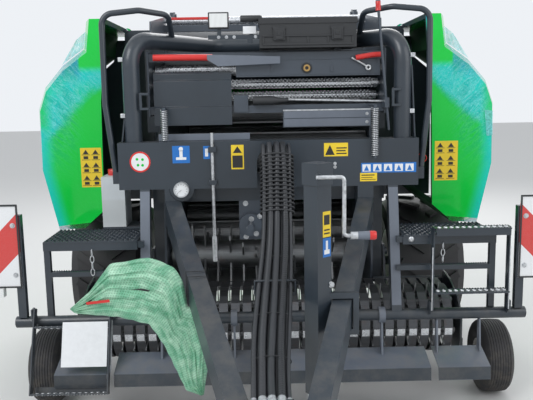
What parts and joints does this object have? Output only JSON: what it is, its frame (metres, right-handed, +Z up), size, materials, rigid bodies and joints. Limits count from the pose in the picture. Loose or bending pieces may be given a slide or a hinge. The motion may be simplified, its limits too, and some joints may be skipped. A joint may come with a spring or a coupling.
{
  "type": "round baler",
  "caption": "Towed round baler with a roller bale chamber, lifting tailgate, tined pickup, folding ladders and side doors, parked on its drawbar jack.",
  "frame": {"origin": "On the ground under the middle of the machine's outer box.", "axes": "+X to the right seen from the hitch, +Y to the rear, +Z up."},
  "size_m": [3.04, 3.88, 2.224],
  "materials": {
    "machine_green": "gloss",
    "dark_frame": "satin",
    "frame_grey": "satin",
    "rim_white": "satin",
    "zinc": "brushed",
    "worn_steel": "worn",
    "chrome_rod": "polished",
    "tyre_rubber": "matt",
    "black_plastic": "matt",
    "tank_white": "matt",
    "hose_rubber": "matt",
    "board_paint": "satin",
    "lamp_lens": "gloss",
    "marker_lens": "gloss",
    "net_cloth": "matt",
    "dial": "gloss"
  },
  "bodies": {
    "root": {"chassis_rails": "dark_frame", "axle": "dark_frame", "chamber_walls": "frame_grey", "front_rollers": "worn_steel", "chamber_cover": "dark_frame", "feed_floor": "worn_steel", "headstock": "dark_frame", "cross_member": "dark_frame", "pressure_gauge": "dial", "drawbar_beams": "dark_frame", "drawbar_head": "dark_frame", "hitch_eye": "worn_steel", "guard_tube": "dark_frame", "handrails": "dark_frame", "step_frame": "dark_frame", "decks": "zinc", "crop_guides": "frame_grey", "net_frame": "frame_grey", "net_rollers": "zinc", "toolbox": "black_plastic", "gearbox": "frame_grey", "oil_tank": "tank_white", "tank_shelf": "dark_frame", "warning_boards": "board_paint", "board_arms": "dark_frame", "marker_lamps": "marker_lens", "door_arms": "dark_frame", "hose_bundle": "hose_rubber", "driveline_bag": "net_cloth", "jack_tube": "dark_frame", "jack_crank": "zinc"},
    "toolbox_lid": {"toolbox_lid": "black_plastic"},
    "jack_leg": {"jack_leg": "zinc"},
    "wheel_left": {"tyre_left": "tyre_rubber", "rim_left": "rim_white"},
    "wheel_right": {"tyre_right": "tyre_rubber", "rim_right": "rim_white"},
    "pickup": {"pickup_frame": "dark_frame", "stripper_bands": "zinc"},
    "pickup_reel": {"pickup_reel": "worn_steel"},
    "gauge_wheel_left": {"gauge_tyre_left": "tyre_rubber", "gauge_rim_left": "rim_white"},
    "gauge_wheel_right": {"gauge_tyre_right": "tyre_rubber", "gauge_rim_right": "rim_white"},
    "feed_rotor": {"feed_rotor": "worn_steel"},
    "wind_guard": {"wind_guard": "frame_grey"},
    "ladder_left": {"ladder_left": "zinc"},
    "ladder_right": {"ladder_right": "zinc"},
    "side_door_left": {"side_door_left": "machine_green"},
    "side_door_right": {"side_door_right": "machine_green"},
    "tailgate": {"tailgate_walls": "frame_grey", "tailgate_rollers": "worn_steel", "tailgate_wrap": "machine_green", "tailgate_covers": "machine_green", "lamp_bar": "dark_frame", "rear_lamps": "lamp_lens"},
    "ram_barrel_left": {"ram_barrel_left": "dark_frame"},
    "ram_barrel_right": {"ram_barrel_right": "dark_frame"},
    "ram_rod_left": {"ram_rod_left": "chrome_rod"},
    "ram_rod_right": {"ram_rod_right": "chrome_rod"}
  },
  "joints": [
    {"name": "toolbox_lid_hinge", "type": "hinge", "parent": "root", "child": "toolbox_lid", "pos_m": [0.213, 0.039, 2.0273], "axis": [-1, 0, 0], "range_deg": [0, 100]},
    {"name": "jack_slide", "type": "slide", "parent": "root", "child": "jack_leg", "axis": [0, 0, 1], "range_m": [0, 0.34]},
    {"name": "wheel_left_turn", "type": "hinge", "parent": "root", "child": "wheel_left", "pos_m": [-1.06, 1.06, 0.465], "axis": [1, 0, 0], "continuous": true},
    {"name": "wheel_right_turn", "type": "hinge", "parent": "root", "child": "wheel_right", "pos_m": [1.06, 1.06, 0.465], "axis": [1, 0, 0], "continuous": true},
    {"name": "pickup_lift", "type": "hinge", "parent": "root", "child": "pickup", "pos_m": [0, 0.4, 0.69], "axis": [-1, 0, 0], "range_deg": [0, 18]},
    {"name": "pickup_reel_turn", "type": "hinge", "parent": "pickup", "child": "pickup_reel", "pos_m": [0, 0.02, 0.385], "axis": [1, 0, 0], "continuous": true},
    {"name": "gauge_wheel_left_turn", "type": "hinge", "parent": "pickup", "child": "gauge_wheel_left", "pos_m": [-1.225, -0.115, 0.2], "axis": [1, 0, 0], "continuous": true},
    {"name": "gauge_wheel_right_turn", "type": "hinge", "parent": "pickup", "child": "gauge_wheel_right", "pos_m": [1.225, -0.115, 0.2], "axis": [1, 0, 0], "continuous": true},
    {"name": "feed_rotor_turn", "type": "hinge", "parent": "root", "child": "feed_rotor", "pos_m": [0, 0.4, 0.69], "axis": [1, 0, 0], "continuous": true},
    {"name": "wind_guard_swing", "type": "hinge", "parent": "root", "child": "wind_guard", "pos_m": [0, -0.42, 0.547], "axis": [-1, 0, 0], "range_deg": [0, 45]},
    {"name": "ladder_left_fold", "type": "hinge", "parent": "root", "child": "ladder_left", "pos_m": [-0.995, -0.46, 0.605], "axis": [-1, 0, 0], "range_deg": [0, 158]},
    {"name": "ladder_right_fold", "type": "hinge", "parent": "root", "child": "ladder_right", "pos_m": [0.995, -0.46, 0.605], "axis": [1, 0, 0], "range_deg": [0, 158]},
    {"name": "side_door_left_lift", "type": "hinge", "parent": "root", "child": "side_door_left", "pos_m": [-0.856, 0.55, 2.066], "axis": [0, 1, 0], "range_deg": [0, 70]},
    {"name": "side_door_right_lift", "type": "hinge", "parent": "root", "child": "side_door_right", "pos_m": [0.856, 0.55, 2.066], "axis": [0, -1, 0], "range_deg": [0, 70]},
    {"name": "tailgate_lift", "type": "hinge", "parent": "root", "child": "tailgate", "pos_m": [0, 1.05, 2.19], "axis": [1, 0, 0], "range_deg": [0, 75]},
    {"name": "ram_left_pivot", "type": "hinge", "parent": "root", "child": "ram_barrel_left", "pos_m": [-0.672, 0.45, 1.33], "axis": [1, 0, 0], "range_deg": [0, 14.27]},
    {"name": "ram_left_stroke", "type": "slide", "parent": "ram_barrel_left", "child": "ram_rod_left", "axis": [0, 0.8575, 0.5145], "range_m": [0, 0.4326]},
    {"name": "ram_right_pivot", "type": "hinge", "parent": "root", "child": "ram_barrel_right", "pos_m": [0.672, 0.45, 1.33], "axis": [1, 0, 0], "range_deg": [0, 14.27]},
    {"name": "ram_right_stroke", "type": "slide", "parent": "ram_barrel_right", "child": "ram_rod_right", "axis": [0, 0.8575, 0.5145], "range_m": [0, 0.4326]}
  ],
  "couplings": [
    {"joint": "ram_left_pivot", "follows": "tailgate_lift", "ratio": 0.19023},
    {"joint": "ram_left_stroke", "follows": "tailgate_lift", "m_per_rad": 0.33051},
    {"joint": "ram_right_pivot", "follows": "tailgate_lift", "ratio": 0.19023},
    {"joint": "ram_right_stroke", "follows": "tailgate_lift", "m_per_rad": 0.33051}
  ]
}
